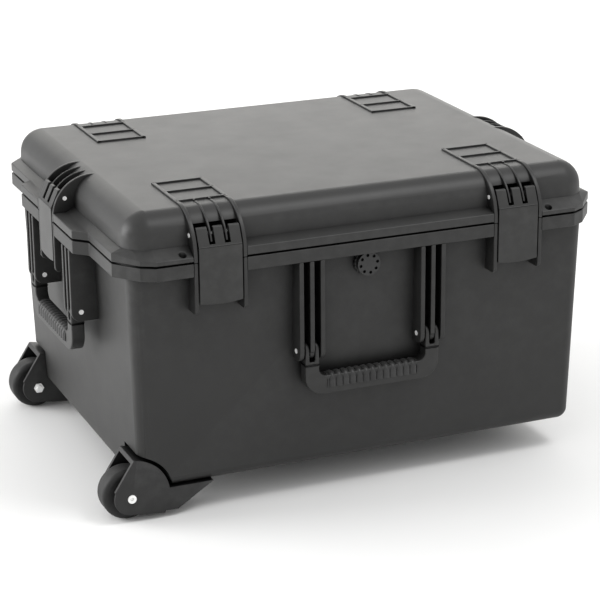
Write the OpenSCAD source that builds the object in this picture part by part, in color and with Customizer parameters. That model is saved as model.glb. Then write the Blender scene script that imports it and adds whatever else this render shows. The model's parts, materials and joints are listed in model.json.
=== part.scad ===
// Rolling tool box: a moulded two-shell case with four pull-down latches, three swing-down
// carry handles, two corner wheels and an extending pull handle under the base.
// X runs along the front, the front faces -Y, +Z is up. The origin is on the ground,
// in the middle of the box that encloses the case.

/* [Case] */
// Length between the end bulges of the rim flange
case_length = 622; // [600:2:650]
// Depth between the front and back faces of the rim flange
case_depth = 482; // [474:2:500]
// Height of the base, from its underside to the parting line
base_height = 271.5; // [220:0.5:300]
// Height of the lid above the parting line
lid_height = 53; // [53:1:70]
// Wall thickness of both shells
wall = 4.5; // [3.5:0.5:5]
// Gap under the base that the wheels and the feet make
ground_gap = 36; // [36:1:46]
// Dark gap between the lid flange and the base flange
parting_gap = 2.2; // [1.4:0.2:3]

/* [Latches] */
// Distance of each front latch, and of each rear hinge, from the middle
latch_x = 183; // [160:1:195]
// Width of the latch lever
lever_w = 50.5; // [45:0.5:51]
// How far the lever reaches below the parting line
lever_drop = 50; // [44:1:56]
// Diameter of the latch pivot pins
latch_pin_d = 4; // [3:0.5:4.5]
// Diameter of the two padlock holes
padlock_d = 8; // [6:0.5:8]

/* [Handles] */
// Distance of each handle bracket from the middle of its handle
bracket_x = 75; // [66:1:84]
// How far the front handle's pivot lies below the parting line
front_handle_drop = 124; // [110:1:150]
// How far each end handle's pivot lies below the parting line
end_handle_drop = 92; // [85:1:120]
// Height of a handle from its pivot to its lower edge
bail_drop = 53; // [48:1:60]

/* [Wheels] */
// Wheel diameter
wheel_d = 60; // [56:1:60]
// Tyre width
tyre_w = 28; // [22:1:28]
// Width of a wheel bracket
bracket_w = 50; // [48:1:52]

/* [Pull handle] */
// Outer diameter of the two pull tubes
pull_tube_d = 14; // [12:1:16]
// Distance of each pull tube from the middle
pull_tube_y = 45; // [40:1:50]
// Length of the housing under the base
housing_length = 430; // [400:10:440]

/* [Hidden] */
$fn = 48;
eps = 0.01;
smooth_fn = 32;
fit = 0.05;                 // radial clearance of a pin in its bore

parting_z = ground_gap + base_height;
half_l = case_length / 2;
half_d = case_depth / 2;
half_gap = parting_gap / 2;
hinge_reach = 6.5;          // knuckle stands this far behind the flange
lever_proud = 0.5;          // lever stands this far in front of the flange
axle_x = -286;              // both axles lie this far from the middle
// the origin is the middle of the enclosing box: wheels on the left, hinges at the back
shift_x = (wheel_d / 2 - axle_x - half_l - lever_proud) / 2;
shift_y = (lever_proud - hinge_reach) / 2;

// shells
end_inset = 28.5;           // flange bulge to base wall, at the ends, at the parting line
end_step = 15;              // the bulge stands this far outside the rest of the flange
front_inset = 19.5;         // the same at the front and back
draft_x = 0.0272;           // wall slope, mm per mm of height
draft_y = 0.0237;
base_corner_r = 16;
base_edge_r = 14;
lid_corner_r = 29;
lid_step = 2.7;             // the lid wall stands this far outside the base wall
base_flange_h = 16.5;
lid_flange_h = 11;          // outer edge of the lid's flange, in the middle and at the ends
lid_corner_h = 6;           // the same outside the front and rear guards
foot_h = 15.5;              // the flange's top rises to this at the lid wall
seal_w = 4;
seal_in = 1.2;              // lid wall to seal
zone_x = 257;               // the rims are made in sides, ends and corners, parted here
zone_y = 203;

// guards and ribs of the latches and hinges
guard_half = 31;
guard_t = 4.5;
rib_t = 2.6;
rib_x = 9;
guard_drop = 61;
end_guard_r = 48;
front_guard_r = 50;
guard_base_z = 5;           // height of the guard's arc centre
guard_foot = -half_gap + 0.6;    // the lid's guards nearly meet the base's
latch_pivot_y = 15;         // behind the flange face
latch_pivot_z = 27.3;       // above the parting line
pocket_r = 12.6;
pocket_wall = 4;
recess = 8;                 // flange set back behind the lever
padlock_x = 225;            // padlock holes from the middle
frame_ends = [62.5, 102, 140];   // cross bars, measured inwards from the flange face
rail_rise = 1.8;
frame_bar = 3;
rib_foot = 20.4;            // the inner ribs of a latch end here, above the lever's web
seal_top = 4;

// handles
bracket_rib_t = 5.5;
bracket_pitch = 12.8;
bail_pin_r = 2.3;
bail_pivot_y = 11.5;
bail_half_w = 8.5;
bail_front = 1.2;
bail_back = 17;
bail_bar_h = 22;
bail_outer_r = 22;
bail_inner_r = 9;
hub_r = 10.3;
web_top = 12.5;
grip_half = 57;
seam_z = -16.5;             // parting line round each arm of a handle

// hinges
hinge_r = 6;
hinge_pin_r = 2.5;
hinge_y = -0.5;             // pivot just behind the flange face
knuckle_w = 10;
knuckle_pitch = 10.5;
knuckle_gap = 0.6;

// wheels
wheel_r = wheel_d / 2;
axle = [axle_x, wheel_r];     // X and Z of both axles
axle_r = 4;
bracket_out = 214;          // outer face of a bracket from the middle, in Y
fender_r = 45.5;
fender_t = 4.5;
cheek_t = 4.5;
boss_r = 20;
notch_r = 50;
notch_side = 2.5;
hub_outer_r = 17;
tread_r = 6;
hub_bush_r = 6;
tail_x = -188;
hub_half = bracket_w / 2 - cheek_t - 1;
screw_x = -214;
screw_dy = 11;
bracket_mid = bracket_out - bracket_w / 2;

// pull handle
housing_x0 = 218 - housing_length;
housing_x1 = 218;
housing_half = 62;
housing_z0 = 8;
housing_t = 3.5;
tube_r = pull_tube_d / 2;
tube_z = 22;
tube_x0 = housing_x0 + 9;
grip_x = [250, 271];
pull_grip_half = 60;
post_x = [housing_x0 + 15, 0, 196];
post_r = 6;
boss_h = 17;                // screw bosses, above the underside of the base
screw_r = 2;
head_z = ground_gap - 8;    // screw heads bear at this height
button = [9, 34, 11];
button_out = 2.5;
foot_r = 12;
foot_x = 190;
foot_y = 44;

// valve
valve_x = -2;
valve_z = -31;
valve_cap_r = 14;
valve_stem_r = 6;
valve_flange_r = 11;
valve_ring_r = 10.4;        // ring of vent holes

// ---------------------------------------------------------------- helpers

// one wall of the case: the front is 0 degrees, the right end 90, the back 180, the left end -90;
// inside it, X runs along the wall, -Y points outwards from the flange face, Z from the parting line
module at_wall(angle, along = 0) {
    reach = (angle == 90 || angle == -90) ? half_l : half_d;
    translate([shift_x, shift_y, parting_z])
        rotate([0, 0, angle]) translate([along, -reach, 0]) children();
}

// places a shape drawn about the middle of the case
module at_case() { translate([shift_x, shift_y, 0]) children(); }

// extrudes a side profile (outward-Y, Z) along X, centred
module side_slab(w) { rotate([90, 0, 90]) linear_extrude(w, center = true) children(); }

// extrudes a profile in (X, Z) between two distances in Y
module front_slab(y0, y1) {
    translate([0, y1, 0]) rotate([90, 0, 0]) linear_extrude(y1 - y0) children();
}

module cyl_x(r, l, y, z) { translate([0, y, z]) rotate([0, 90, 0]) cylinder(r = r, h = l, center = true); }

module cyl_y(r, y0, y1, x, z) {
    translate([x, y1, z]) rotate([90, 0, 0]) cylinder(r = r, h = y1 - y0);
}

module round_rect(hx, hy, r) {
    square([2 * hx - 2 * r, 2 * hy], center = true);
    square([2 * hx, 2 * hy - 2 * r], center = true);
    for (sx = [-1, 1], sy = [-1, 1]) translate([sx * (hx - r), sy * (hy - r)]) circle(r);
}

module ring(hx, hy, r, w, h) {
    linear_extrude(h) difference() {
        round_rect(hx + w, hy + w, r + w);
        round_rect(hx, hy, r);
    }
}

// tapered box with rounded uprights, one end flat and the other with a ball at each corner
module tub(flat_half, flat_r, flat_z, ball_half, ball_r, ball_z) {
    hull() for (sx = [-1, 1], sy = [-1, 1]) {
        translate([sx * (flat_half[0] - flat_r), sy * (flat_half[1] - flat_r), flat_z])
            cylinder(r = flat_r, h = eps, $fn = smooth_fn);
        translate([sx * (ball_half[0] - ball_r), sy * (ball_half[1] - ball_r), ball_z])
            sphere(ball_r, $fn = smooth_fn);
    }
}

// plan of the rim flange: bulges on all four sides, narrow at the corners
function mirrored(list, sx, sy) = [for (p = list) [sx * p[0], sy * p[1]]];
function reversed(list) = [for (i = [len(list) - 1:-1:0]) list[i]];

module flange_plan() {
    corner = [[zone_x, half_d], [273, half_d - 9], [half_l - end_step, zone_y],
              [half_l - end_step, 120], [half_l, 105]];
    polygon(concat(corner, reversed(mirrored(corner, 1, -1)),
                   mirrored(corner, -1, -1), reversed(mirrored(corner, -1, 1))));
}

// ---------------------------------------------------------------- base shell

base_top = [half_l - end_inset, half_d - front_inset];
base_low = [base_top[0] - draft_x * base_height, base_top[1] - draft_y * base_height];

module base_solid(inset) {
    tub([base_top[0] - inset, base_top[1] - inset], base_corner_r - inset,
        parting_z - half_gap + (inset > 0 ? 1 : -eps),
        [base_low[0] - inset, base_low[1] - inset], base_edge_r - inset,
        ground_gap + base_edge_r);
}

// space round a wheel bracket, cut out of a lower corner
module notch(grow, side) {
    cyl_y(notch_r + grow, side > 0 ? bracket_out - bracket_w - notch_side - grow : -bracket_out - 30,
          side > 0 ? bracket_out + 30 : -bracket_out + bracket_w + notch_side + grow, axle[0], axle[1]);
}

// every latch and hinge position
module each_front() { for (x = [-latch_x, latch_x]) at_wall(0, x) children(); }
module each_end() { for (a = [-90, 90]) at_wall(a) children(); }
module each_hinge() { for (x = [-latch_x, latch_x]) at_wall(180, x) children(); }

// a pair of upright plates with the same side profile, at a distance either side of the middle
module plate_pair(x, t) { for (s = [-1, 1]) translate([s * x, 0, 0]) side_slab(t) children(); }

module guard_pair() { plate_pair(guard_half - guard_t / 2, guard_t) children(); }

module base_guard_profile() {
    translate([0, -guard_drop + 6]) square([40, guard_drop - 6 - half_gap]);
    translate([6, -guard_drop + 6]) circle(6);
    translate([6, -guard_drop]) square([34, 7]);
}

// slots that the guards fill in both rims
module guard_slots() {
    guard_pair() translate([-1, -30]) square([60, 60]);
}

// three ribs that carry one end of a handle
module bracket_ribs(drop) {
    top = -base_flange_h;
    for (i = [-1:1]) translate([i * bracket_pitch, 0, 0]) side_slab(bracket_rib_t) {
        r = (i == 0) ? hub_r : bail_pivot_y;
        translate([0, -drop]) square([44, drop + top]);
        translate([bail_pivot_y, -drop]) circle(r);
        translate([bail_pivot_y, -drop - r]) square([32, r]);
    }
}

module handle_supports(drop) {
    for (s = [-1, 1]) translate([s * bracket_x, 0, 0]) bracket_ribs(drop);
}

module handle_bores(drop) {
    for (s = [-1, 1]) translate([s * bracket_x, 0, 0])
        cyl_x(bail_pin_r + fit, 3 * bracket_pitch, bail_pivot_y, -drop);
}

// room behind a lever, cut out of a rim
module lever_recess(z0, z1) {
    translate([-guard_half + guard_t, -5, z0]) cube([2 * (guard_half - guard_t), 5 + recess, z1 - z0]);
}

module knuckles(places, grow) {
    for (i = places) translate([i * knuckle_pitch, 0, 0])
        cyl_x(hinge_r + grow, (grow > 0) ? 2 * knuckle_pitch - knuckle_w : knuckle_w, hinge_y, 0);
}

module hinge_bore() { cyl_x(hinge_pin_r + fit, 60, hinge_y, 0); }

module padlock_holes() {
    at_wall(0) for (s = [-1, 1]) translate([s * padlock_x, 6, -30]) cylinder(d = padlock_d, h = 60);
}

module base_bosses(r, z0, h) {
    for (s = [-1, 1], t = [-1, 1]) translate([screw_x, s * bracket_mid + t * screw_dy, z0])
        cylinder(r = r, h = h);
    for (x = post_x) translate([x, 0, z0]) cylinder(r = r, h = h);
}

module skid_ribs() {
    for (s = [-1, 1]) translate([-262, s * 8, ground_gap]) {
        rotate([0, 90, 0]) cylinder(r = 5, h = 30);
        sphere(5);
    }
}

module base_mass() { at_case() base_solid(0); }

// parts of a rim: its front and back, its ends, its corners
module zone_sides() { at_case() translate([-zone_x, -300, 0]) cube([2 * zone_x, 600, 500]); }

module zone_ends() {
    at_case() for (s = [-1, 1]) translate([s * (zone_x + 50), 0, 250]) cube([100, 2 * zone_y, 500], center = true);
}

module zone_corners() {
    at_case() for (s = [-1, 1], t = [-1, 1]) translate([s * (zone_x + 50), t * (zone_y + 50), 250])
        cube([100, 100, 500], center = true);
}

module rim_slab(z0, z1) { at_case() translate([0, 0, parting_z + z0]) linear_extrude(z1 - z0) flange_plan(); }

module base_tub() color("#3f3f3e") difference() {
    at_case() {
        difference() {
            base_solid(0);
            for (s = [-1, 1]) notch(0, s);
        }
        skid_ribs();
        base_bosses(post_r, ground_gap, boss_h);
    }
    at_case() difference() {
        base_solid(wall);
        for (s = [-1, 1]) notch(wall, s);
        base_bosses(post_r, ground_gap, boss_h);
    }
    at_case() base_bosses(screw_r + fit, ground_gap - 10, boss_h + 7);
    at_wall(0) cyl_y(valve_stem_r + fit, 5, 40, valve_x, valve_z);
}

module base_rim_sides() color("#464645") difference() {
    union() {
        intersection() {
            rim_slab(-base_flange_h, -half_gap);
            zone_sides();
        }
        each_hinge() knuckles([-1, 1], 0);
    }
    base_mass();
    each_front() guard_slots();
    each_hinge() guard_slots();
    each_front() lever_recess(-base_flange_h - 1, 5);
    each_hinge() {
        knuckles([-2, 0, 2], knuckle_gap);
        hinge_bore();
    }
    padlock_holes();
}

module base_rim_ends() color("#464645") difference() {
    intersection() {
        rim_slab(-base_flange_h, -half_gap);
        zone_ends();
    }
    base_mass();
    each_end() guard_slots();
    each_end() lever_recess(-base_flange_h - 1, 5);
}

module base_rim_corners() color("#464645") difference() {
    intersection() {
        rim_slab(-base_flange_h, -half_gap);
        zone_corners();
    }
    base_mass();
}

module base_latch_guards() color("#4c4c4a") difference() {
    union() {
        each_front() guard_pair() base_guard_profile();
        each_end() guard_pair() base_guard_profile();
    }
    base_mass();
}

module base_hinge_guards() color("#4c4c4a") difference() {
    each_hinge() guard_pair() base_guard_profile();
    base_mass();
    each_hinge() hinge_bore();
}

module front_handle_brackets() color("#4c4c4a") difference() {
    at_wall(0) handle_supports(front_handle_drop);
    base_mass();
    at_wall(0) handle_bores(front_handle_drop);
}

module end_handle_brackets() color("#4c4c4a") difference() {
    each_end() handle_supports(end_handle_drop);
    base_mass();
    each_end() handle_bores(end_handle_drop);
}

// ---------------------------------------------------------------- lid

lid_half = [base_top[0] + lid_step, base_top[1] + lid_step];

module lid_solid(inset) {
    intersection() {
        translate([0, 0, parting_z])
            tub([lid_half[0] - inset, lid_half[1] - inset], lid_corner_r - inset,
                half_gap - (inset > 0 ? 1 : 0),
                [lid_half[0] - inset - 0.8, lid_half[1] - inset - 0.8], lid_corner_r - inset,
                lid_height - lid_corner_r);
        translate([0, 0, parting_z + half_gap - (inset > 0 ? 1 : 0) + 250]) cube([800, 800, 500], center = true);
    }
}

// quarter-round plate that rises from the flange face to the lid top
module guard_profile(r, bottom) {
    intersection() {
        translate([r, guard_base_z]) circle(r, $fn = 96);
        translate([0, guard_base_z]) square([r + 6, r + 1]);
    }
    translate([0, bottom]) square([r + 6, guard_base_z - bottom]);
}

module trough(grow) { cyl_x(pocket_r + grow, 2 * (guard_half - guard_t + grow), latch_pivot_y, latch_pivot_z); }

module troughs(grow) {
    each_front() trough(grow);
    each_end() trough(grow);
}

// what the guards and ribs stand on: the lid's outside, without the latch pockets
module lid_mass() {
    difference() {
        at_case() lid_solid(0);
        troughs(0);
    }
}

module latch_bores() {
    each_front() cyl_x(latch_pin_d / 2 + fit, 70, latch_pivot_y, latch_pivot_z);
    each_end() cyl_x(latch_pin_d / 2 + fit, 70, latch_pivot_y, latch_pivot_z);
}

// the two guards and the two inner ribs of one latch or hinge
module lid_guards(r) { guard_pair() guard_profile(r, guard_foot); }

module lid_ribs(r, bottom) {
    plate_pair(rib_x, rib_t) intersection() {
        translate([1, 0]) guard_profile(r - 1, half_gap);
        translate([0, bottom]) square([r + 12, 80]);
    }
}

// raised frame on the lid top behind a latch or hinge
module lid_frame() {
    rail_y = front_guard_r + 6 + eps;
    guard_pair() translate([rail_y, lid_height]) square([frame_ends[2] - rail_y, rail_rise]);
    for (y = frame_ends) translate([-guard_half + 1, y - frame_bar, lid_height])
        cube([2 * guard_half - 2, frame_bar, rail_rise]);
    plate_pair(rib_x, rib_t) translate([rail_y, lid_height]) square([frame_ends[0] - rail_y, rail_rise]);
}

module lid_cover() color("#6b6b68") difference() {
    at_case() lid_solid(0);
    at_case() lid_solid(wall);
    troughs(0);
}

// curved backs of the four latch pockets, inside the lid
module lid_latch_pockets() color("#5c5c59") intersection() {
    difference() {
        troughs(pocket_wall);
        troughs(0);
    }
    at_case() lid_solid(wall);
}

module seal_groove() {
    at_case() translate([0, 0, parting_z - half_gap])
        ring(lid_half[0] + seal_in, lid_half[1] + seal_in, lid_corner_r, seal_w, seal_top + half_gap);
}

// side profile of the lid's flange: its top slopes up to the lid wall
module flange_profile(edge_h, flat) {
    wall_y = (flat > 0 ? end_inset : front_inset) - lid_step;
    polygon([[0, half_gap], [wall_y + 8, half_gap], [wall_y + 8, foot_h], [wall_y, foot_h],
             [flat, edge_h], [0, edge_h]]);
}

// stretch of flange between two distances along a wall
module flange_run(x0, x1, edge_h, flat = 0) {
    translate([(x0 + x1) / 2, 0, 0]) side_slab(x1 - x0) flange_profile(edge_h, flat);
}

// the flange is level between the guards of a latch or hinge
module level_between_guards() {
    translate([-guard_half + guard_t, -5, lid_flange_h]) cube([2 * (guard_half - guard_t), 40, 20]);
}

module lid_rim_sides() color("#5f5f5c") difference() {
    union() {
        for (a = [0, 180]) at_wall(a) {
            flange_run(-latch_x, latch_x, lid_flange_h);
            flange_run(-zone_x, -latch_x, lid_corner_h);
            flange_run(latch_x, zone_x, lid_corner_h);
        }
        each_hinge() knuckles([-2, 0, 2], 0);
    }
    at_case() lid_solid(0);
    each_front() guard_slots();
    each_hinge() guard_slots();
    each_front() level_between_guards();
    each_hinge() level_between_guards();
    each_front() lever_recess(-1, lid_flange_h + 1);
    seal_groove();
    each_hinge() {
        knuckles([-1, 1], knuckle_gap);
        hinge_bore();
    }
    padlock_holes();
}

module lid_rim_ends() color("#5f5f5c") difference() {
    intersection() {
        rim_slab(half_gap, foot_h);
        each_end() flange_run(-zone_y, zone_y, lid_flange_h, end_step);
    }
    at_case() lid_solid(0);
    each_end() guard_slots();
    each_end() level_between_guards();
    each_end() lever_recess(-1, lid_flange_h + 1);
    seal_groove();
}

// one corner of the lid's flange, as the corners of its solid
module corner_block() {
    outer = [[zone_x, half_d, lid_corner_h], [273, half_d - 9, lid_corner_h + 1.5],
             [half_l - end_step, zone_y, lid_flange_h]];
    bend = 0.29 * lid_corner_r;
    inner = [[zone_x, lid_half[1], foot_h], [lid_half[0], zone_y, foot_h], [zone_x, zone_y, foot_h],
             [lid_half[0] - bend, lid_half[1] - bend, foot_h]];
    hull() for (p = concat(outer, inner)) translate([p[0], p[1], half_gap]) cube_to(p[2] - half_gap);
}

// post that is thin enough to stand for an upright line
module cube_to(h) { translate([-eps, -eps, 0]) cube([eps, eps, h]); }

module lid_rim_corners() color("#5f5f5c") difference() {
    at_case() translate([0, 0, parting_z]) for (sx = [0, 1], sy = [0, 1])
        mirror([sx, 0, 0]) mirror([0, sy, 0]) corner_block();
    at_case() lid_solid(0);
    seal_groove();
}

module lid_latch_guards() color("#666663") difference() {
    union() {
        difference() {
            union() {
                each_front() lid_guards(front_guard_r);
                each_end() lid_guards(end_guard_r);
            }
            at_case() lid_solid(0);
        }
        difference() {
            union() {
                each_front() lid_ribs(front_guard_r, rib_foot);
                each_end() lid_ribs(end_guard_r, rib_foot);
            }
            lid_mass();
        }
    }
    latch_bores();
    seal_groove();
}

module lid_hinge_guards() color("#666663") difference() {
    each_hinge() {
        lid_guards(front_guard_r);
        lid_ribs(front_guard_r, lid_flange_h);
    }
    at_case() lid_solid(0);
    each_hinge() hinge_bore();
    seal_groove();
}

module lid_frames() color("#666663") {
    each_front() lid_frame();
    each_hinge() lid_frame();
}

// seal in the lid's groove, just clear of the base rim
module lid_gasket() color("#1d1d1d") at_case() translate([0, 0, parting_z - half_gap + 0.1])
    ring(lid_half[0] + seal_in, lid_half[1] + seal_in, lid_corner_r, seal_w, seal_top + half_gap - 0.1);

// ---------------------------------------------------------------- latches

module lever_plate_profile() {
    translate([-lever_proud, -lever_drop - 1]) square([4, lever_drop + 17]);
    polygon([[-lever_proud, 15.9], [3.5, 10], [4, 17.8], [0.8, 18.6]]);
}

module lever_finger_profile() {
    polygon([[-lever_proud, 15.8], [8.6, 35.6], [12, 36.4], [15, 33], [15, 21.6], [3.4, 11]]);
    translate([latch_pivot_y, latch_pivot_z]) circle(5.8);
}

module latch_lever() color("#474746") difference() {
    intersection() {
        union() {
            side_slab(lever_w) lever_plate_profile();
            for (f = [[-lever_w / 2, -rib_x - 3.5], [-rib_x + 3.5, rib_x - 3.5], [rib_x + 3.5, lever_w / 2]])
                translate([(f[0] + f[1]) / 2, 0, 0]) side_slab(f[1] - f[0]) lever_finger_profile();
            translate([-15, 3, -18]) cube([30, 4.5, 3]);
            for (x = [-17, 15]) translate([x, 3, -44]) cube([2, 3.6, 52]);
        }
        front_slab(-5, 30) intersection() {
            translate([-lever_w / 2, -80]) square([lever_w, 140]);
            translate([0, 150 - lever_drop - 0.6]) circle(150, $fn = 200);
        }
    }
    cyl_x(latch_pin_d / 2 + fit, 70, latch_pivot_y, latch_pivot_z);
}

module latch_pin() color("#c9c9c9") {
    cyl_x(latch_pin_d / 2, 2 * guard_half, latch_pivot_y, latch_pivot_z);
    for (s = [-1, 1]) translate([s * (guard_half + 0.3), 0, 0])
        cyl_x(latch_pin_d / 2 + 0.5, 0.6, latch_pivot_y, latch_pivot_z);
}

module latch_lever_front_left() at_wall(0, -latch_x) latch_lever();
module latch_lever_front_right() at_wall(0, latch_x) latch_lever();
module latch_lever_left_end() at_wall(-90) latch_lever();
module latch_lever_right_end() at_wall(90) latch_lever();
module front_latch_pins() for (x = [-latch_x, latch_x]) at_wall(0, x) latch_pin();
module end_latch_pins() for (a = [-90, 90]) at_wall(a) latch_pin();

// ---------------------------------------------------------------- rear hinges

module hinge_pin() color("#c9c9c9") cyl_x(hinge_pin_r, 5 * knuckle_pitch, hinge_y, 0);
module hinge_pin_left() at_wall(180, latch_x) hinge_pin();
module hinge_pin_right() at_wall(180, -latch_x) hinge_pin();

// ---------------------------------------------------------------- carry handles

// rectangle with its two lower corners rounded
module cup(hx, z0, z1, r) {
    translate([-hx, z0 + r]) square([2 * hx, z1 - z0 - r]);
    translate([-hx + r, z0]) square([2 * hx - 2 * r, r + eps]);
    for (s = [-1, 1]) translate([s * (hx - r), z0 + r]) circle(r);
}

// fine groove round one arm of a handle
module arm_seam() {
    mid = (bail_front + bail_back) / 2;
    deep = bail_back - bail_front;
    translate([0, mid, seam_z]) difference() {
        cube([2 * bail_half_w + 4, deep + 4, 0.7], center = true);
        cube([2 * bail_half_w - 1.4, deep - 1.4, 2], center = true);
    }
}

module bail(drop) color("#3b3b3a") translate([0, 0, -drop]) difference() {
    union() {
        front_slab(bail_front, bail_back) difference() {
            cup(bracket_x + bail_half_w, -bail_drop, -web_top, bail_outer_r);
            cup(bracket_x - bail_half_w, -bail_drop + bail_bar_h, 0, bail_inner_r);
        }
        for (s = [-1, 1], t = [-1, 1])
            translate([s * bracket_x + t * (bail_half_w + bracket_rib_t / 2 + 0.6) / 2, 0, 0])
                side_slab(bail_half_w - bracket_rib_t / 2 - 0.6) {
                    translate([bail_pivot_y, 0]) circle(hub_r);
                    translate([bail_front, -web_top - eps]) square([bail_back - bail_front, web_top]);
                }
    }
    for (s = [-1, 1]) translate([s * bracket_x, 0, 0]) {
        cyl_x(bail_pin_r + fit, 3 * bracket_pitch, bail_pivot_y, 0);
        arm_seam();
    }
}

module bail_grip(drop) color("#2a2a2a") translate([0, 0, -drop]) difference() {
    translate([-grip_half, 0.2, -bail_drop + 8])
        cube([2 * grip_half, 17.8, bail_bar_h - 8 + 1.2]);
    translate([-grip_half - 1, bail_front, -bail_drop])
        cube([2 * grip_half + 2, bail_back - bail_front, bail_bar_h]);
}

module bail_pins(drop) color("#c9c9c9") translate([0, 0, -drop]) for (s = [-1, 1])
    translate([s * bracket_x, 0, 0]) {
        l = 2 * bracket_pitch + bracket_rib_t;
        cyl_x(bail_pin_r, l, bail_pivot_y, 0);
        for (e = [-1, 1]) translate([e * (l / 2 + 0.3), 0, 0]) cyl_x(bail_pin_r + 0.6, 0.6, bail_pivot_y, 0);
    }

module front_handle_bail() at_wall(0) bail(front_handle_drop);
module front_handle_grip() at_wall(0) bail_grip(front_handle_drop);
module front_handle_pins() at_wall(0) bail_pins(front_handle_drop);
module left_handle_bail() at_wall(-90) bail(end_handle_drop);
module left_handle_grip() at_wall(-90) bail_grip(end_handle_drop);
module left_handle_pins() at_wall(-90) bail_pins(end_handle_drop);
module right_handle_bail() at_wall(90) bail(end_handle_drop);
module right_handle_grip() at_wall(90) bail_grip(end_handle_drop);
module right_handle_pins() at_wall(90) bail_pins(end_handle_drop);

// ---------------------------------------------------------------- pressure valve

// the valve's flange meets the sloping wall along its upper edge
seat_y = front_inset - draft_y * (valve_z + valve_flange_r);

module valve_body() color("#2b2b2b") at_wall(0) difference() {
    union() {
        cyl_y(valve_stem_r, seat_y - 3, seat_y + 12, valve_x, valve_z);
        cyl_y(valve_flange_r, seat_y - 3, seat_y, valve_x, valve_z);
    }
    cyl_y(3, seat_y - 4, seat_y + 13, valve_x, valve_z);
}

module valve_cap() color("#343434") at_wall(0) difference() {
    cyl_y(valve_cap_r, seat_y - 12, seat_y - 0.4, valve_x, valve_z);
    cyl_y(valve_flange_r + fit, seat_y - 3.3, seat_y, valve_x, valve_z);
    for (i = [0:7])
        cyl_y(1.8, seat_y - 13, seat_y - 8, valve_x + valve_ring_r * cos(45 * i + 10),
              valve_z + valve_ring_r * sin(45 * i + 10));
}

module valve_membrane() color("#e8e8e8") at_wall(0) cyl_y(4.6, seat_y - 3.2, seat_y - 3, valve_x, valve_z);

module valve_nut() color("#2b2b2b") at_wall(0) difference() {
    translate([valve_x, seat_y + wall + 4.4, valve_z]) rotate([90, 0, 0]) cylinder(r = 10, h = 3.4, $fn = 6);
    cyl_y(valve_stem_r + fit, seat_y + wall, seat_y + wall + 6, valve_x, valve_z);
}

// ---------------------------------------------------------------- wheels

// side view of a bracket, in (X, Z)
module bracket_outline() {
    mouth = [[-281, 77.5], [-305.4, 40]];
    translate(axle) circle(boss_r);
    intersection() {
        translate(axle) circle(fender_r);
        polygon([mouth[0], [-200, 90], [-200, 0], [-290, 10.5], mouth[1]]);
    }
    polygon([mouth[0] + [4, -6], mouth[1] + [0.6, -4], [-290, 10.4], [-258, 8.8], [-231, 8.4],
             [tail_x, ground_gap], [-250, ground_gap]]);
}

// the wheel's room inside a bracket, open to the left and downwards
module bracket_well() {
    translate(axle) circle(fender_r - fender_t);
    translate([axle[0] - 60, axle[1] - 60]) square([60, 120]);
    translate([axle[0] - 1, -20]) square([42, 20 + axle[1]]);
}

module bracket_screw_holes(r, head_r) {
    for (t = [-1, 1]) translate([screw_x, t * screw_dy, 0]) {
        cylinder(r = r, h = 60);
        cylinder(r = head_r, h = head_z);
    }
}

module wheel_bracket(side) color("#232323") at_case() translate([0, side * bracket_mid, 0]) difference() {
    front_slab(-bracket_w / 2, bracket_w / 2) bracket_outline();
    front_slab(-bracket_w / 2 + cheek_t, bracket_w / 2 - cheek_t) bracket_well();
    cyl_y(axle_r + fit, -bracket_w, bracket_w, axle[0], axle[1]);
    bracket_screw_holes(screw_r + fit, 4.2);
}

module bracket_screw() color("#9a9a9a") {
    translate([0, 0, head_z - 2.4]) cylinder(r = 3.8, h = 2.4);
    translate([0, 0, head_z - eps]) cylinder(r = screw_r, h = 21);
}

module bracket_screws() at_case() for (s = [-1, 1], t = [-1, 1])
    translate([screw_x, s * bracket_mid + t * screw_dy, 0]) bracket_screw();

module tyre(side) color("#1c1c1c") at_case() translate([axle[0], side * bracket_mid, axle[1]])
    rotate([90, 0, 0]) rotate_extrude() {
        translate([hub_outer_r, -tyre_w / 2]) square([wheel_r - hub_outer_r - tread_r, tyre_w]);
        translate([hub_outer_r, -tyre_w / 2 + tread_r])
            square([wheel_r - hub_outer_r, tyre_w - 2 * tread_r]);
        for (s = [-1, 1]) translate([wheel_r - tread_r, s * (tyre_w / 2 - tread_r)]) circle(tread_r);
    }

module hub(side) color("#2e2e2e") at_case() translate([axle[0], side * bracket_mid, axle[1]])
    rotate([90, 0, 0]) rotate_extrude() {
        translate([hub_bush_r, -hub_half]) square([4, 2 * hub_half]);
        translate([hub_bush_r, -4]) square([hub_outer_r - hub_bush_r, 8]);
        translate([hub_outer_r - 3, -tyre_w / 2]) square([3, tyre_w]);
    }

module bushes(side) color("#8a8a8a") at_case() translate([axle[0], side * bracket_mid, axle[1]])
    for (s = [-1, 1]) translate([0, s * (hub_half - 6), 0]) rotate([90, 0, 0]) difference() {
        cylinder(r = hub_bush_r, h = 12, center = true);
        cylinder(r = axle_r + fit, h = 14, center = true);
    }

module axle_bolt(side) color("#cfcfcf") at_case() translate([axle[0], side * bracket_mid, axle[1]])
    rotate([side > 0 ? -90 : 90, 0, 0]) difference() {
        union() {
            translate([0, 0, -bracket_w / 2 - 6]) cylinder(r = axle_r, h = bracket_w + 6 + eps);
            translate([0, 0, bracket_w / 2]) cylinder(r = axle_r + 1, h = 1.8);
        }
        translate([0, 0, bracket_w / 2 - 1]) cylinder(r = 2.3, h = 4, $fn = 6);
    }

module wheel_bracket_front() wheel_bracket(-1);
module wheel_bracket_rear() wheel_bracket(1);
module front_wheel_tyre() tyre(-1);
module front_wheel_hub() hub(-1);
module front_wheel_bushes() bushes(-1);
module rear_wheel_tyre() tyre(1);
module rear_wheel_hub() hub(1);
module rear_wheel_bushes() bushes(1);
module axle_front() axle_bolt(-1);
module axle_rear() axle_bolt(1);

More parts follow.
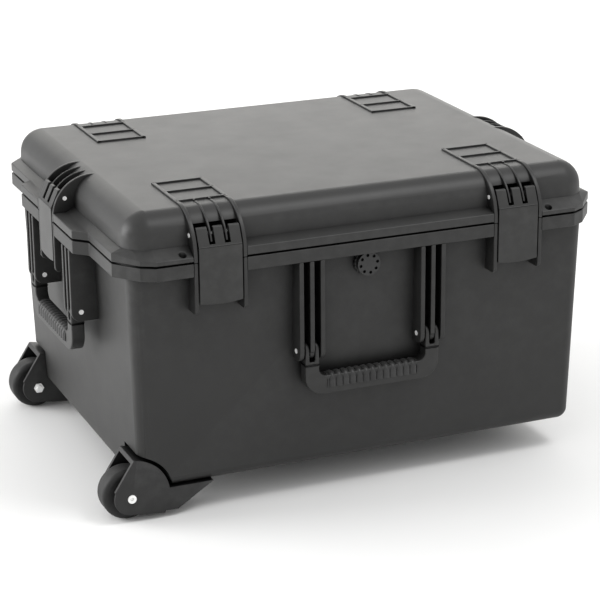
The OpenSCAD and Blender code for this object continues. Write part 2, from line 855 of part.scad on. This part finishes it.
module axle_nuts() color("#cfcfcf") at_case() for (s = [-1, 1])
    translate([axle[0], s * (bracket_mid - bracket_w / 2 - 0.05), axle[1]])
        rotate([s > 0 ? 90 : -90, 0, 0]) difference() {
            cylinder(r = 6.6, h = 2.4, $fn = 6);
            translate([0, 0, -1]) cylinder(r = axle_r + fit, h = 6);
        }

// ---------------------------------------------------------------- pull handle

module tubes_shape(r, x0, x1) {
    for (s = [-1, 1]) translate([x0, s * pull_tube_y, tube_z]) rotate([0, 90, 0])
        cylinder(r = r, h = x1 - x0);
}

module pull_handle_housing() color("#262626") at_case() difference() {
    union() {
        difference() {
            translate([(housing_x0 + housing_x1) / 2, 0, housing_z0])
                linear_extrude(ground_gap - housing_z0) round_rect(housing_length / 2, housing_half, 14);
            translate([(housing_x0 + housing_x1) / 2, 0, housing_z0 + housing_t])
                linear_extrude(ground_gap)
                    round_rect(housing_length / 2 - housing_t, housing_half - housing_t, 14 - housing_t);
        }
        for (x = post_x) translate([x, 0, housing_z0]) cylinder(r = post_r + 2, h = ground_gap - housing_z0);
    }
    tubes_shape(tube_r + 2.5 + fit, housing_x1 - 20, housing_x1 + 5);
    for (x = post_x) translate([x, 0, 0]) {
        cylinder(r = screw_r + fit, h = 60);
        cylinder(r = 4.2, h = head_z);
    }
}

module housing_screws() at_case() for (x = post_x) translate([x, 0, 0]) bracket_screw();

module guide_bushes() color("#3a3a3a") at_case() difference() {
    union() {
        tubes_shape(tube_r + 2.5, housing_x1 - 22, housing_x1);
        tubes_shape(tube_r + 4.5, housing_x1, housing_x1 + 2);
    }
    tubes_shape(tube_r + 0.08, housing_x1 - 30, housing_x1 + 5);
}

module rest_feet() color("#1a1a1a") at_case() for (s = [-1, 1])
    translate([foot_x, s * foot_y, 0]) {
        cylinder(r = foot_r - 1, h = 1);
        translate([0, 0, 1]) cylinder(r = foot_r, h = housing_z0 - 1);
    }

module pull_tubes() color("#b8b8b8") at_case() difference() {
    tubes_shape(tube_r, tube_x0, grip_x[0] + 12);
    tubes_shape(tube_r - 1.2, tube_x0 - 1, grip_x[0] + 13);
}

module tube_stops() color("#3a3a3a") at_case() difference() {
    tubes_shape(tube_r + 2.2, tube_x0 + 1, tube_x0 + 11);
    tubes_shape(tube_r, tube_x0, tube_x0 + 12);
}

module pull_grip() color("#2a2a2a") at_case() difference() {
    translate([grip_x[0], 0, tube_z]) rotate([0, 90, 0])
        linear_extrude(grip_x[1] - grip_x[0]) round_rect(11, pull_grip_half, 10);
    tubes_shape(tube_r + fit, grip_x[0] - 1, grip_x[0] + 12);
    translate([grip_x[1] - 11, -button[1] / 2 - 0.4, tube_z - button[2] / 2 - 0.4])
        cube([20, button[1] + 0.8, button[2] + 0.8]);
    for (s = [-1, 1]) translate([grip_x[0] + 6, s * pull_tube_y, 0]) {
        cylinder(r = 1.5 + fit, h = tube_z);
        cylinder(r = 3, h = 14.5);
    }
}

module pull_grip_screws() color("#9a9a9a") at_case() for (s = [-1, 1])
    translate([grip_x[0] + 6, s * pull_tube_y, 0]) {
        translate([0, 0, 13.1]) cylinder(r = 2.8, h = 1.4);
        translate([0, 0, 14.4]) cylinder(r = 1.5, h = tube_z - tube_r - 14.5);
    }

module release_button() color("#8b1f1f") at_case()
    translate([grip_x[1] + button_out - button[0] / 2, 0, tube_z])
        rotate([0, 90, 0]) translate([0, 0, -button[0] / 2])
            linear_extrude(button[0]) round_rect(button[2] / 2, button[1] / 2, 4);

base_tub();
base_rim_sides();
base_rim_ends();
base_rim_corners();
base_latch_guards();
base_hinge_guards();
front_handle_brackets();
end_handle_brackets();
lid_cover();
lid_latch_pockets();
lid_rim_sides();
lid_rim_ends();
lid_rim_corners();
lid_latch_guards();
lid_hinge_guards();
lid_frames();
lid_gasket();
latch_lever_front_left();
latch_lever_front_right();
latch_lever_left_end();
latch_lever_right_end();
front_latch_pins();
end_latch_pins();
hinge_pin_left();
hinge_pin_right();
front_handle_bail();
front_handle_grip();
front_handle_pins();
left_handle_bail();
left_handle_grip();
left_handle_pins();
right_handle_bail();
right_handle_grip();
right_handle_pins();
valve_body();
valve_cap();
valve_membrane();
valve_nut();
wheel_bracket_front();
wheel_bracket_rear();
bracket_screws();
front_wheel_tyre();
front_wheel_hub();
front_wheel_bushes();
rear_wheel_tyre();
rear_wheel_hub();
rear_wheel_bushes();
axle_front();
axle_rear();
axle_nuts();
pull_handle_housing();
housing_screws();
guide_bushes();
rest_feet();
pull_tubes();
tube_stops();
pull_grip();
pull_grip_screws();
release_button();
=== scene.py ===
"""Looks for the rolling tool box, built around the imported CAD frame. Metres, row frame."""
import json
import math

import bmesh
import bpy
from mathutils import Matrix, Vector


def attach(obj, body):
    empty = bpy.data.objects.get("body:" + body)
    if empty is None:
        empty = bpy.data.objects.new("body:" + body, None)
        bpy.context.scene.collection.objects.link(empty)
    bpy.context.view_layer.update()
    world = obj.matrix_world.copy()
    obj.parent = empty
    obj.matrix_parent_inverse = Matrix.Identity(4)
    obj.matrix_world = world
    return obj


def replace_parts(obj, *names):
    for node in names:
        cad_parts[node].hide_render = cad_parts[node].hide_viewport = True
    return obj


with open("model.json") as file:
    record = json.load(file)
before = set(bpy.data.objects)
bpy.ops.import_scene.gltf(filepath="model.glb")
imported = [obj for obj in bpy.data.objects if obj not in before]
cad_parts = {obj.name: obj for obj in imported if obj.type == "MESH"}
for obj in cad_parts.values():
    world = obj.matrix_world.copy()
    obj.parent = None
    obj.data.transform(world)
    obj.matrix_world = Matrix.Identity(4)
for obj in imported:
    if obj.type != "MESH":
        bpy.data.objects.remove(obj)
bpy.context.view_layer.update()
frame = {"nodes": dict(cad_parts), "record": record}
RECORD = frame["record"]
NODES = frame["nodes"]
MM = 0.001
TAU = 2 * math.pi
BODY = {n: b for b, ns in RECORD["behaviour"]["bodies"].items() for n in ns}
SLOT = {s["node"]: s["material_slot"] for s in RECORD["subparts"]}
scene = bpy.context.scene


# ------------------------------------------------------------------ materials

class Nodes:
    """A short way to write a principled shader's node tree."""

    def __init__(self, name):
        self.mat = bpy.data.materials.new(name)
        self.mat.use_nodes = True
        self.tree = self.mat.node_tree
        self.tree.nodes.clear()
        self.out = self.add("ShaderNodeOutputMaterial")
        self.bsdf = self.add("ShaderNodeBsdfPrincipled")
        self.link(self.bsdf.outputs[0], self.out.inputs[0])
        self.coord = self.add("ShaderNodeTexCoord").outputs["Object"]

    def add(self, kind, **values):
        node = self.tree.nodes.new(kind)
        for key, value in values.items():
            setattr(node, key, value)
        return node

    def link(self, a, b):
        self.tree.links.new(a, b)

    def noise(self, scale, detail=3.0, rough=0.55, vector=None):
        node = self.add("ShaderNodeTexNoise")
        node.inputs["Scale"].default_value = scale
        node.inputs["Detail"].default_value = detail
        node.inputs["Roughness"].default_value = rough
        self.link(vector or self.coord, node.inputs["Vector"])
        return node.outputs[0]

    def stretched(self, scales):
        node = self.add("ShaderNodeMapping")
        node.inputs["Scale"].default_value = scales
        self.link(self.coord, node.inputs["Vector"])
        return node.outputs[0]

    def remap(self, value, low, high, to_low, to_high):
        node = self.add("ShaderNodeMapRange")
        for i, x in enumerate((low, high, to_low, to_high)):
            node.inputs[i + 1].default_value = x
        self.link(value, node.inputs[0])
        return node.outputs[0]

    def mix(self, factor, a, b, blend="MIX"):
        node = self.add("ShaderNodeMix", data_type="RGBA", blend_type=blend)
        for socket, value in ((node.inputs[6], a), (node.inputs[7], b)):
            if hasattr(value, "is_output"):
                self.link(value, socket)
            else:
                socket.default_value = (*value, 1.0)
        if hasattr(factor, "is_output"):
            self.link(factor, node.inputs[0])
        else:
            node.inputs[0].default_value = factor
        return node.outputs[2]

    def bump(self, height, strength, distance, normal=None):
        node = self.add("ShaderNodeBump")
        node.inputs["Strength"].default_value = strength
        node.inputs["Distance"].default_value = distance
        self.link(height, node.inputs["Height"])
        if normal is not None:
            self.link(normal, node.inputs["Normal"])
        return node.outputs[0]

    def edges(self):
        """1 on convex edges, 0 elsewhere."""
        geo = self.add("ShaderNodeNewGeometry")
        return self.remap(geo.outputs["Pointiness"], 0.52, 0.62, 0.0, 1.0)

    def painted_shade_openness(self, reach_mm=30.0):
        """Ambient-occlusion mask for painted shade: 1 out in the open, falling to 0 deep between ribs and
        in tight corners.
        """
        node = self.add("ShaderNodeAmbientOcclusion", samples=8)
        node.inputs["Distance"].default_value = reach_mm * MM
        return self.remap(node.outputs["AO"], 0.3, 0.85, 0.0, 1.0)

    def times(self, a, b):
        node = self.add("ShaderNodeMath", operation="MULTIPLY")
        for socket, value in zip(node.inputs, (a, b)):
            if hasattr(value, "is_output"):
                self.link(value, socket)
            else:
                socket.default_value = value
        return node.outputs[0]


def moulded(name, colour, rough=0.46, grain_mm=0.45, grain=0.35, wear_and_highlight=0.35, variation=0.07, specular=0.5):
    """Moulded plastic: spark-eroded grain, faint flow marks, lighter edges (partly scuffing wear, partly
    painted highlight), and painted shade in the hollows.
    """
    m = Nodes(name)
    dark = tuple(c * (1 - variation) for c in colour)
    light = tuple(min(1, c * (1 + variation)) for c in colour)
    clouds = m.noise(9.0, 4.0, 0.6)
    specks = m.noise(1 / (grain_mm * MM * 2.2), 2.0, 0.6)
    base = m.mix(m.remap(clouds, 0.35, 0.65, 0.0, 1.0), dark, light)
    base = m.mix(m.remap(specks, 0.45, 0.75, 0.0, 0.22), base, tuple(min(1, c * 1.9) for c in colour))
    # The scuff colour lightens convex edges through pointiness: partly scuffing wear, partly a painted
    # highlight along the edges.
    scuff_and_highlight = tuple(min(1, c * 2.6 + 0.03) for c in colour)
    patchy = m.remap(m.noise(70.0, 3.0), 0.4, 0.7, 0.25, 1.0)
    base = m.mix(m.times(m.times(m.edges(), patchy), wear_and_highlight), base, scuff_and_highlight)
    # Painted shade: the ambient-occlusion mask darkens the base colour to a tenth in hollows, between ribs
    # and in corners.
    m.link(m.mix(m.painted_shade_openness(), tuple(c * 0.1 for c in colour), base), m.bsdf.inputs["Base Color"])
    m.bsdf.inputs["Specular IOR Level"].default_value = specular
    smudge = m.noise(26.0, 5.0, 0.65)
    m.link(m.remap(smudge, 0.3, 0.7, rough - 0.015, rough + 0.02), m.bsdf.inputs["Roughness"])
    grains = m.noise(1 / (grain_mm * MM), 2.0, 0.5)
    waves = m.bump(m.noise(14.0, 1.0), 0.02, 0.002)
    m.link(m.bump(grains, grain, 0.00006, waves), m.bsdf.inputs["Normal"])
    return m.mat


def rubber(name, colour, rough=0.7, grain=0.4):
    """Soft overmould or tyre rubber: matt, slightly dusty, with a fine tooth."""
    m = Nodes(name)
    dust = tuple(min(1, c * 2.2 + 0.01) for c in colour)
    base = m.mix(m.remap(m.noise(55.0, 5.0, 0.7), 0.42, 0.72, 0.0, 0.45), colour, dust)
    base = m.mix(m.remap(m.noise(2600.0, 2.0), 0.5, 0.8, 0.0, 0.25), base, dust)
    m.link(base, m.bsdf.inputs["Base Color"])
    m.link(m.remap(m.noise(38.0, 4.0), 0.3, 0.7, rough - 0.08, rough + 0.08), m.bsdf.inputs["Roughness"])
    m.bsdf.inputs["Specular IOR Level"].default_value = 0.4
    m.bsdf.inputs["Sheen Weight"].default_value = 0.05
    m.link(m.bump(m.noise(2900.0, 2.0), grain, 0.00006), m.bsdf.inputs["Normal"])
    return m.mat


def metal(name, colour, rough, along=(1.0, 1.0, 1.0), metallic=1.0):
    """Plated or drawn metal: hair-fine lines, slight staining."""
    m = Nodes(name)
    stain = tuple(c * 0.72 for c in colour)
    base = m.mix(m.remap(m.noise(90.0, 5.0, 0.65), 0.45, 0.75, 0.0, 0.5), colour, stain)
    m.link(base, m.bsdf.inputs["Base Color"])
    m.bsdf.inputs["Metallic"].default_value = metallic
    lines = m.noise(1500.0, 3.0, 0.6, m.stretched(along))
    m.link(m.remap(lines, 0.3, 0.7, rough - 0.06, rough + 0.1), m.bsdf.inputs["Roughness"])
    m.link(m.bump(lines, 0.18, 0.00003), m.bsdf.inputs["Normal"])
    return m.mat


MATS = {
    "case_base": moulded("case_base", (0.0185, 0.0185, 0.0181), rough=0.47, specular=0.34),
    "case_lid": moulded("case_lid", (0.021, 0.021, 0.0206), rough=0.44, specular=0.36),
    "latch_plastic": moulded("latch_plastic", (0.022, 0.022, 0.0215), rough=0.42, grain=0.25, wear_and_highlight=0.45,
                             specular=0.34),
    "handle_plastic": moulded("handle_plastic", (0.0185, 0.0185, 0.0181), rough=0.42, grain=0.25,
                              wear_and_highlight=0.45, specular=0.34),
    "black_plastic": moulded("black_plastic", (0.0115, 0.0115, 0.0115), rough=0.5, wear_and_highlight=0.5, specular=0.4),
    "valve_plastic": moulded("valve_plastic", (0.014, 0.014, 0.014), rough=0.45, grain=0.2),
    "membrane": moulded("membrane", (0.55, 0.55, 0.53), rough=0.8, wear_and_highlight=0.0),
    "hub_plastic": moulded("hub_plastic", (0.011, 0.011, 0.011), rough=0.4, grain=0.2),
    "nylon": moulded("nylon", (0.05, 0.05, 0.048), rough=0.5, grain=0.15),
    "button_plastic": moulded("button_plastic", (0.012, 0.012, 0.012), rough=0.28, grain=0.1),
    "grip_rubber": rubber("grip_rubber", (0.015, 0.015, 0.015), 0.44, 0.25),
    "seal_rubber": rubber("seal_rubber", (0.008, 0.008, 0.008), 0.8),
    "tyre_rubber": rubber("tyre_rubber", (0.0035, 0.0035, 0.0035), 0.62),
    "foot_rubber": rubber("foot_rubber", (0.009, 0.009, 0.009), 0.75),
    # bright_steel is near-white and barely metallic: its whiteness is a painted reflection that stands in
    # for the steel pins' bright glint.
    "bright_steel": metal("bright_steel", (0.95, 0.95, 0.94), 0.3, metallic=0.15),
    "zinc_steel": metal("zinc_steel", (0.45, 0.46, 0.47), 0.34),
    "tube_aluminium": metal("tube_aluminium", (0.62, 0.63, 0.64), 0.28, (0.03, 1.0, 1.0)),
}


# ------------------------------------------------------------------ mesh helpers

SHARP = 38     # degrees between two faces from which their edge counts as sharp
WELD = 0.02    # points closer than this, in mm, are one point


def finish_piece(name, bm, node, sharp=SHARP):
    """Turns a bmesh into a piece that stands for, or goes with, a CAD node."""
    bmesh.ops.recalc_face_normals(bm, faces=bm.faces)
    mesh = bpy.data.meshes.new(name)
    bm.to_mesh(mesh)
    bm.free()
    piece = bpy.data.objects.new(name, mesh)
    scene.collection.objects.link(piece)
    mesh.materials.append(MATS[SLOT[node]])
    for p in mesh.polygons:
        p.use_smooth = True
    mesh.set_sharp_from_angle(angle=math.radians(sharp))
    weighted = piece.modifiers.new("weighted", "WEIGHTED_NORMAL")
    weighted.keep_sharp = True
    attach(piece, BODY[node])
    return piece


def cad_copy(node, dissolve=True):
    """A CAD node's mesh, welded; with dissolve, each flat face becomes one polygon."""
    bm = bmesh.new()
    bm.from_mesh(NODES[node].data)
    bmesh.ops.remove_doubles(bm, verts=bm.verts, dist=WELD * MM)
    bmesh.ops.dissolve_degenerate(bm, dist=WELD * MM, edges=bm.edges)
    if dissolve:
        bmesh.ops.dissolve_limit(bm, angle_limit=math.radians(0.6), verts=bm.verts, edges=bm.edges)
    return bm


# Sizes of the case, in mm from its middle and from the parting line.
SHIFT = Vector((2.25, -3.0))      # the middle of the case in the row frame
PARTING = 307.5                   # height of the parting line over the floor
WALL = (282.5, 221.5)             # outside of the base at the parting line
DRAFT = (0.0272, 0.0237)          # how far the base's ends and sides lean in for each mm down
LID = (285.2, 224.2, 53.0)        # outside of the lid and its height
LID_R = 29.0                      # radius of the lid's edges and corners
SEAMS = (257.0, 203.0)            # where the corners of a rim meet its sides and its ends
LATCH_X = 183.0                   # middle of each front latch and rear hinge
END_REACH, SIDE_REACH = 311.0, 241.0   # outermost face of the rim at the ends and at the front and back
NEAR = 0.35                       # a point this close to a wall counts as on it


def on_shell(co):
    """True where a point lies on (or in) the outside wall of the base or of the lid."""
    x, y, z = abs(co.x / MM - SHIFT.x), abs(co.y / MM - SHIFT.y), co.z / MM - PARTING
    if z < 0:
        return x < WALL[0] + DRAFT[0] * z + NEAR and y < WALL[1] + DRAFT[1] * z + NEAR
    past = Vector([max(0, here - half + LID_R) for here, half in zip((x, y, z), LID)])
    return past.length < LID_R + NEAR


def on_seam(a, b):
    """True for an edge in one of the planes where two parts of a rim meet."""
    for i, at in enumerate(SEAMS):
        if all(abs(abs(co[i] / MM - SHIFT[i]) - at) < 0.05 for co in (a, b)):
            return True
    return False


def free_edge(e):
    a, b = (v.co for v in e.verts)
    return not (on_shell(a) and on_shell(b)) and not on_seam(a, b)


def rounded(node, width_mm):
    """A copy of a CAD node whose sharp, free edges are rounded in the mesh."""
    bm = cad_copy(node)
    edges = [e for e in bm.edges if len(e.link_faces) == 2
             and e.calc_face_angle(0) > math.radians(SHARP) and free_edge(e)]
    bmesh.ops.bevel(bm, geom=edges, offset=width_mm * MM, offset_type="OFFSET", segments=2,
                    profile=0.5, affect="EDGES", clamp_overlap=False, miter_outer="ARC")
    piece = finish_piece(node + "_shape", bm, node)
    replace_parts(piece, node)
    return piece


def wall_matrix(angle, drop):
    """Puts a shape drawn against one wall (X along it, Y inwards, Z up, in mm) into the row frame."""
    reach = END_REACH if abs(angle) == 90 else SIDE_REACH
    place = Matrix.Translation((SHIFT.x, SHIFT.y, PARTING)) @ Matrix.Rotation(math.radians(angle), 4, "Z")
    return Matrix.Scale(MM, 4) @ place @ Matrix.Translation((0, -reach, -drop))


def skin(bm, loops, closed=False):
    """Joins a row of equal vertex loops; the first and last are capped unless closed."""
    rings = [[bm.verts.new(p) for p in loop] for loop in loops]
    n = len(rings[0])
    pairs = list(zip(rings, rings[1:])) + ([(rings[-1], rings[0])] if closed else [])
    for a, b in pairs:
        for i in range(n):
            bm.faces.new((a[i], a[(i + 1) % n], b[(i + 1) % n], b[i]))
    if not closed:
        bm.faces.new(rings[0])
        bm.faces.new(rings[-1])


# How wide each node's edges are rounded, in mm.
ROUNDED = {
    "base_rim_sides": 1.1, "base_rim_ends": 1.1, "base_rim_corners": 1.1,
    "lid_rim_sides": 1.1, "lid_rim_ends": 1.1, "lid_rim_corners": 1.1,
    "base_latch_guards": 1.0, "base_hinge_guards": 1.0,
    "front_handle_brackets": 1.0, "end_handle_brackets": 1.0,
    "lid_latch_guards": 0.8, "lid_hinge_guards": 0.8,
    "latch_lever_front_left": 0.7, "latch_lever_front_right": 0.7,
    "latch_lever_left_end": 0.7, "latch_lever_right_end": 0.7,
    "front_handle_bail": 1.6, "left_handle_bail": 1.6, "right_handle_bail": 1.6,
    "wheel_bracket_front": 0.8, "wheel_bracket_rear": 0.8,
    "pull_handle_housing": 1.0, "pull_grip": 1.5, "release_button": 0.8, "rest_feet": 0.6,
    "valve_cap": 0.25, "axle_front": 0.25, "axle_rear": 0.25,
}
for node, width in ROUNDED.items():
    rounded(node, width)
# These keep their edges, and are only shaded smoothly. The tub's walls are flat, so it's dissolved.
for node, dissolve in (("base_tub", True), ("lid_cover", False), ("lid_latch_pockets", False)):
    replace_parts(finish_piece(node + "_shape", cad_copy(node, dissolve), node), node)


# The raised frames: x from a latch's middle, y in from the rim's outermost face, in mm.
FRAME_X = 28.75                        # middle of the two long bars
FRAME_Y = (56.0, 140.0)                # ends of the long bars
CROSS_X, CROSS_Y = 29.5, (61.0, 100.5, 138.5)   # ends and places of the cross bars
STUB_X, STUB_END = 9.0, 61.0           # the two short bars that carry on the latch's ribs
LONG_W, CROSS_W, STUB_W = 4.5, 3.0, 2.6
# Across half a bar's width, and up in mm: sunk a little in the lid, with a rounded top.
BAR_PROFILE = ((-1, -0.4), (-1, 1.2), (-0.86, 1.62), (-0.6, 1.8),
               (0.6, 1.8), (0.86, 1.62), (1, 1.2), (1, -0.4))


def bar_loops(place, start, end, width):
    along = (Vector((*end, 0)) - Vector((*start, 0))).normalized()
    side = Vector((-along.y, along.x, 0)) * (width / 2)
    return [[place @ (Vector((*at, z)) + side * k) for k, z in BAR_PROFILE] for at in (start, end)]


def frame_bars():
    """The raised frames on the lid, laid over the CAD's flat ones."""
    bars = [((x, FRAME_Y[0]), (x, FRAME_Y[1]), LONG_W) for x in (-FRAME_X, FRAME_X)]
    bars += [((-CROSS_X, y), (CROSS_X, y), CROSS_W) for y in CROSS_Y]
    bars += [((x, FRAME_Y[0]), (x, STUB_END), STUB_W) for x in (-STUB_X, STUB_X)]
    bm = bmesh.new()
    for x in (-LATCH_X, LATCH_X):
        for angle in (0, 180):
            place = wall_matrix(angle, -LID[2]) @ Matrix.Translation((x, 0, 0))
            for start, end, width in bars:
                skin(bm, bar_loops(place, start, end, width))
    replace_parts(finish_piece("lid_frames_bars", bm, "lid_frames"), "lid_frames")


# ------------------------------------------------------------------ ribbed grips, valve ring

# Overmould of a carry handle, in mm: y inwards, z up from the handle's pivot.
GRIP_Y, GRIP_Z, GRIP_R = (-0.2, 17.6), (-45.0, -29.4), 8.4
GRIP_HALF, COLLAR = 57.0, 2.2          # half its length, and the plain collar at each end
RIBS, RIB_STEPS = 13, 14
GROOVE, RIB = -1.25, 2.1               # bottom of a groove, and how far a rib stands over it
# Distance from the end and height of a collar's profile.
COLLAR_PROFILE = ((0.0, -1.2), (0.35, -0.3), (1.6, -0.2))


def grip_section(out):
    """Cross-section that wraps the top of the bar, out mm larger than the plain overmould."""
    y0, y1, z1 = GRIP_Y[0] - out, GRIP_Y[1] + out, GRIP_Z[1] + out
    points = [(y0, GRIP_Z[0])]
    for cy, first in ((y0 + GRIP_R, 180), (y1 - GRIP_R, 90)):
        for turned in range(0, 91, 9):
            a = math.radians(first - turned)
            points.append((cy + GRIP_R * math.cos(a), z1 - GRIP_R + GRIP_R * math.sin(a)))
    return points + [(y1, GRIP_Z[0])]


def ribbed_grip(node, angle, drop):
    """Overmoulded grip with rounded cross ribs and a plain collar at each end."""
    span = 2 * (GRIP_HALF - COLLAR)
    profile = [(x - GRIP_HALF, out) for x, out in COLLAR_PROFILE]
    for i in range(RIBS * RIB_STEPS + 1):
        phase = i % RIB_STEPS / RIB_STEPS
        profile.append((COLLAR - GRIP_HALF + span * i / (RIBS * RIB_STEPS),
                        GROOVE + RIB * math.sin(math.pi * phase) ** 0.6))
    profile += [(GRIP_HALF - x, out) for x, out in reversed(COLLAR_PROFILE)]
    bm = bmesh.new()
    skin(bm, [[(x, y, z) for y, z in grip_section(out)] for x, out in profile])
    bm.transform(wall_matrix(angle, drop))
    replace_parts(finish_piece(node + "_ribbed", bm, node, 50), node)


frame_bars()
# Each handle's wall, and how far below the parting line its pins are.
for node, angle, drop in (("front_handle_grip", 0, 124.0), ("left_handle_grip", -90, 92.0),
                          ("right_handle_grip", 90, 92.0)):
    ribbed_grip(node, angle, drop)


VALVE_X, VALVE_DROP = -2.0, 31.0       # middle of the pressure valve on the front wall
VALVE_FLANGE_R = 11.0                  # its flange lies on the leaning wall by its upper edge
# Where the flange lies, in from the rim's outermost face.
VALVE_SEAT = SIDE_REACH - WALL[1] + DRAFT[1] * (VALVE_DROP - VALVE_FLANGE_R)
SKIRT_LOBES, SKIRT_POINTS = 20, 240


def skirt_loop(y, radius, depth):
    """A ring round the valve with shallow lobes, depth mm from crest to root."""
    loop = []
    for k in range(SKIRT_POINTS):
        a = TAU * k / SKIRT_POINTS
        r = radius + depth * (abs(math.cos(SKIRT_LOBES / 2 * a)) ** 0.6 - 0.5)
        loop.append((r * math.cos(a), VALVE_SEAT - y, r * math.sin(a)))
    return loop


def valve_skirt():
    """Knurled skirt round the foot of the pressure valve's cap."""
    outside = ((0.45, 14.3, 0.5), (0.7, 14.7, 0.8), (4.6, 14.7, 0.8), (5.3, 14.2, 0.3))
    inside = ((5.35, 13.2, 0.0), (0.45, 13.2, 0.0))
    bm = bmesh.new()
    skin(bm, [skirt_loop(*ring) for ring in outside + inside], closed=True)
    bm.transform(wall_matrix(0, VALVE_DROP) @ Matrix.Translation((VALVE_X, 0, 0)))
    finish_piece("valve_skirt", bm, "valve_cap", 50)


valve_skirt()
for node, obj in NODES.items():
    obj.data.materials.clear()
    obj.data.materials.append(MATS[SLOT[node]])

# ------------------------------------------------------------------ stage, light, camera

def pale_floor(radius=9.0):
    """A round, plain, slightly clouded floor."""
    mesh = bpy.data.meshes.new("floor")
    bm = bmesh.new()
    bmesh.ops.create_circle(bm, cap_ends=True, segments=96, radius=radius)
    bm.to_mesh(mesh)
    bm.free()
    floor = bpy.data.objects.new("floor", mesh)
    scene.collection.objects.link(floor)
    m = Nodes("floor")
    clouds = m.remap(m.noise(3.0), 0.3, 0.7, 0.0, 1.0)
    m.link(m.mix(clouds, (0.86, 0.86, 0.855), (0.88, 0.88, 0.875)), m.bsdf.inputs["Base Color"])
    m.link(m.remap(m.noise(30.0), 0.3, 0.7, 0.8, 0.9), m.bsdf.inputs["Roughness"])
    mesh.materials.append(m.mat)


def white_surround(strength=0.95):
    world = bpy.data.worlds.new("studio")
    world.use_nodes = True
    background = world.node_tree.nodes["Background"]
    background.inputs["Color"].default_value = (1.0, 1.0, 1.0, 1.0)
    background.inputs["Strength"].default_value = strength
    scene.world = world


def area_light(name, place, target, size, power, colour=(1.0, 1.0, 1.0)):
    """A softbox of the given size (m) and power (W) that faces its target."""
    data = bpy.data.lights.new(name, "AREA")
    data.shape = "RECTANGLE"
    data.size, data.size_y = size
    data.energy, data.color = power, colour
    light = bpy.data.objects.new(name, data)
    scene.collection.objects.link(light)
    light.location = place
    light.rotation_mode = "QUATERNION"
    light.rotation_quaternion = (Vector(target) - Vector(place)).to_track_quat("-Z", "Y")


pale_floor()
white_surround()
area_light("top_softbox", (0.9, -1.0, 2.4), (0, 0, 0.3), (0.9, 0.7), 20)
area_light("left_softbox", (-2.3, 0.9, 0.9), (-0.2, 0, 0.2), (1.4, 1.4), 48)
area_light("back_softbox", (0.95, 3.0, 1.15), (0, 0, 0.36), (3.4, 1.5), 30, (1.0, 0.985, 0.94))

camera_data = bpy.data.cameras.new("camera")
camera = bpy.data.objects.new("camera", camera_data)
scene.collection.objects.link(camera)
scene.camera = camera
camera_data.sensor_width = 36.0
camera_data.lens = 129.23
camera_data.shift_x = -0.0343
camera_data.shift_y = 0.0067
camera_data.clip_start, camera_data.clip_end = 0.05, 60.0
right = Vector((0.9201182, -0.39160006, -0.00564803))
up = Vector((0.13270422, 0.29817365, 0.9452418))
back = Vector((-0.36847265, -0.8704837, 0.32632198))
turn = Matrix((right, up, back)).transposed().to_4x4()
camera.matrix_world = Matrix.Translation((-0.95285, -2.3457, 1.0278)) @ turn

scene.view_settings.view_transform = "Standard"
scene.view_settings.look = "None"
